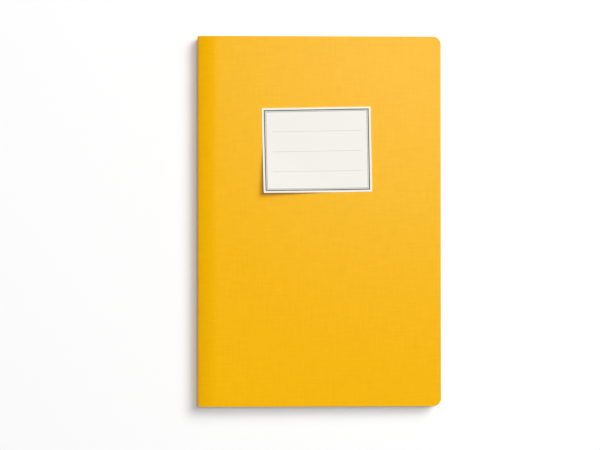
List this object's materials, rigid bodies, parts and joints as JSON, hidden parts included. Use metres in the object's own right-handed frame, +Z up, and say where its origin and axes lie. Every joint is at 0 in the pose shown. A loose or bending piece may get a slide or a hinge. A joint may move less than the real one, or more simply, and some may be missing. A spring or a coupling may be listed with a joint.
{
  "type": "composition notebook",
  "caption": "Soft-cover notebook with a sewn page block, a wrap-round cover trimmed flush, round fore-edge corners and a paper label with one loose corner.",
  "frame": {"origin": "middle of the back cover's outer face, on which the closed notebook lies", "axes": "+X from the spine to the fore-edge, +Y from the tail to the head, +Z up through the closed notebook to the front cover"},
  "size_m": [0.125, 0.19, 0.0117],
  "materials": {
    "cover": "satin",
    "endpaper": "matte",
    "pages": "matte",
    "lining": "matte",
    "thread": "matte",
    "label": "matte"
  },
  "bodies": {
    "book_block": {"page_block": "pages", "spine_cover": "cover", "spine_lining": "lining", "sewing_thread": "thread"},
    "front_cover": {"front_cover": "cover", "front_endpaper": "endpaper", "label": "label"},
    "back_cover": {"back_cover": "cover", "back_endpaper": "endpaper"}
  },
  "joints": [
    {"name": "front_cover_hinge", "type": "hinge", "parent": "book_block", "child": "front_cover", "pos_m": [-0.06051, 0, 0.00763], "axis": [0, -1, 0], "range_deg": [0, 180]},
    {"name": "back_cover_hinge", "type": "hinge", "parent": "book_block", "child": "back_cover", "pos_m": [-0.06051, 0, 0.00104], "axis": [0, 1, 0], "range_deg": [0, 180]}
  ]
}
